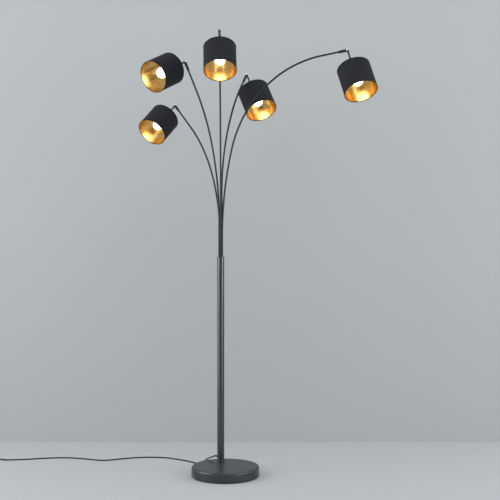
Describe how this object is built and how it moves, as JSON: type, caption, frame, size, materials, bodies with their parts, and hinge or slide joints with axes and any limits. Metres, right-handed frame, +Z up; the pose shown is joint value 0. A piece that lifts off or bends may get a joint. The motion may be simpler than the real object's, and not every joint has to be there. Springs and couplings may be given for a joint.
{
  "type": "floor lamp",
  "caption": "Dark metal floor lamp: round weighted base, straight pole, curved arms in an open fan, each with a hinged drum shade, black outside and gold inside.",
  "frame": {"origin": "centre of the round base on the floor", "axes": "+Z up, +X to the right as pictured, +Y to the back, away from the camera"},
  "size_m": [1.9176, 0.7514, 1.9513],
  "materials": {
    "base_paint": "satin powder coat",
    "weight": "cast, rough",
    "foot_plastic": "matte",
    "pad_felt": "felt",
    "steel": "zinc plated",
    "pole_paint": "satin powder coat",
    "joiner_plastic": "matte",
    "arm_paint": "satin",
    "screw_metal": "polished nickel",
    "holder_plastic": "matte",
    "fitter_metal": "plain wire",
    "shade_fabric": "black weave outside, gold foil inside",
    "bulb_glass": "frosted, lit",
    "cord_rubber": "satin",
    "switch_plastic": "fine grain",
    "button_plastic": "fine grain",
    "pin_metal": "nickel plated"
  },
  "bodies": {
    "lamp": {"base_cover": "base_paint", "base_weight": "weight", "base_plate": "foot_plastic", "base_pad": "pad_felt", "pole_foot": "steel", "foot_nut": "steel", "lower_pole": "pole_paint", "pole_joiner": "joiner_plastic", "upper_pole": "pole_paint", "collar": "pole_paint", "arm_seat": "steel", "cord_bushing": "cord_rubber", "cord_run": "cord_rubber", "switch_body": "switch_plastic", "cord_lead": "cord_rubber", "cord_coil": "cord_rubber", "cord_tail": "cord_rubber", "plug_body": "switch_plastic", "plug_pins": "pin_metal"},
    "button": {"switch_button": "button_plastic"},
    "arm_1_body": {"arm_1": "arm_paint"},
    "knuckle_1_body": {"knuckle_1": "arm_paint", "hinge_screw_1": "screw_metal"},
    "head_1": {"stem_1": "arm_paint", "holder_1": "holder_plastic", "fitter_1": "fitter_metal", "shade_1": "shade_fabric", "bulb_1": "bulb_glass"},
    "arm_2_body": {"arm_2": "arm_paint"},
    "knuckle_2_body": {"knuckle_2": "arm_paint", "hinge_screw_2": "screw_metal"},
    "head_2": {"stem_2": "arm_paint", "holder_2": "holder_plastic", "fitter_2": "fitter_metal", "shade_2": "shade_fabric", "bulb_2": "bulb_glass"},
    "arm_3_body": {"arm_3": "arm_paint"},
    "knuckle_3_body": {"knuckle_3": "arm_paint", "hinge_screw_3": "screw_metal"},
    "head_3": {"stem_3": "arm_paint", "holder_3": "holder_plastic", "fitter_3": "fitter_metal", "shade_3": "shade_fabric", "bulb_3": "bulb_glass"},
    "arm_4_body": {"arm_4": "arm_paint"},
    "knuckle_4_body": {"knuckle_4": "arm_paint", "hinge_screw_4": "screw_metal"},
    "head_4": {"stem_4": "arm_paint", "holder_4": "holder_plastic", "fitter_4": "fitter_metal", "shade_4": "shade_fabric", "bulb_4": "bulb_glass"},
    "arm_5_body": {"arm_5": "arm_paint"},
    "knuckle_5_body": {"knuckle_5": "arm_paint", "hinge_screw_5": "screw_metal"},
    "head_5": {"stem_5": "arm_paint", "holder_5": "holder_plastic", "fitter_5": "fitter_metal", "shade_5": "shade_fabric", "bulb_5": "bulb_glass"}
  },
  "joints": [
    {"name": "press_button", "type": "slide", "parent": "lamp", "child": "button", "axis": [0, 0, -1], "range_m": [0, 0.0025], "stiffness_N_per_m": 400, "springref_m": -0.001},
    {"name": "turn_arm_1", "type": "hinge", "parent": "lamp", "child": "arm_1_body", "pos_m": [-0.023, 0.06485, 0.97], "axis": [0, 0, 1], "range_deg": [-25, 35]},
    {"name": "swivel_head_1", "type": "hinge", "parent": "arm_1_body", "child": "knuckle_1_body", "pos_m": [-0.023, -0.10618, 1.94644], "axis": [0, -0.4067, 0.9135], "range_deg": [-40, 90]},
    {"name": "tilt_head_1", "type": "hinge", "parent": "knuckle_1_body", "child": "head_1", "pos_m": [-0.023, -0.10618, 1.94644], "axis": [0.9994, 0.0319, 0.0142], "range_deg": [-97, 10]},
    {"name": "turn_arm_2", "type": "hinge", "parent": "lamp", "child": "arm_2_body", "pos_m": [-0.0162, 0.06979, 0.97], "axis": [0, 0, 1], "range_deg": [-30, 0]},
    {"name": "swivel_head_2", "type": "hinge", "parent": "arm_2_body", "child": "knuckle_2_body", "pos_m": [0.51823, -0.21437, 1.8386], "axis": [0.8789, -0.4673, 0.0958], "range_deg": [-90, 90]},
    {"name": "tilt_head_2", "type": "hinge", "parent": "knuckle_2_body", "child": "head_2", "pos_m": [0.51823, -0.21437, 1.8386], "axis": [0.4721, 0.823, -0.3158], "range_deg": [-42, 65]},
    {"name": "turn_arm_3", "type": "hinge", "parent": "lamp", "child": "arm_3_body", "pos_m": [-0.0188, 0.07778, 0.97], "axis": [0, 0, 1], "range_deg": [0, 30]},
    {"name": "swivel_head_3", "type": "hinge", "parent": "arm_3_body", "child": "knuckle_3_body", "pos_m": [0.0937, 0.16567, 1.80688], "axis": [0.388, 0.3032, 0.8704], "range_deg": [0, 75]},
    {"name": "tilt_head_3", "type": "hinge", "parent": "knuckle_3_body", "child": "head_3", "pos_m": [0.0937, 0.16567, 1.80688], "axis": [0.2476, 0.8753, -0.4153], "range_deg": [-108, 0]},
    {"name": "turn_arm_4", "type": "hinge", "parent": "lamp", "child": "arm_4_body", "pos_m": [-0.0272, 0.07778, 0.97], "axis": [0, 0, 1], "range_deg": [-30, 30]},
    {"name": "swivel_head_4", "type": "hinge", "parent": "arm_4_body", "child": "knuckle_4_body", "pos_m": [-0.25232, 0.36592, 1.69567], "axis": [-0.4611, 0.5902, 0.6626], "range_deg": [-90, 90]},
    {"name": "tilt_head_4", "type": "hinge", "parent": "knuckle_4_body", "child": "head_4", "pos_m": [-0.25232, 0.36592, 1.69567], "axis": [0.0135, -0.742, 0.6703], "range_deg": [-96, 11]},
    {"name": "turn_arm_5", "type": "hinge", "parent": "lamp", "child": "arm_5_body", "pos_m": [-0.0298, 0.06979, 0.97], "axis": [0, 0, 1], "range_deg": [-30, 25]},
    {"name": "swivel_head_5", "type": "hinge", "parent": "arm_5_body", "child": "knuckle_5_body", "pos_m": [-0.18084, 0.02648, 1.83803], "axis": [-0.3679, -0.1055, 0.9239], "range_deg": [-90, 40]},
    {"name": "tilt_head_5", "type": "hinge", "parent": "knuckle_5_body", "child": "head_5", "pos_m": [-0.18084, 0.02648, 1.83803], "axis": [0.6937, -0.6928, 0.1971], "range_deg": [-66.5, 40]}
  ]
}
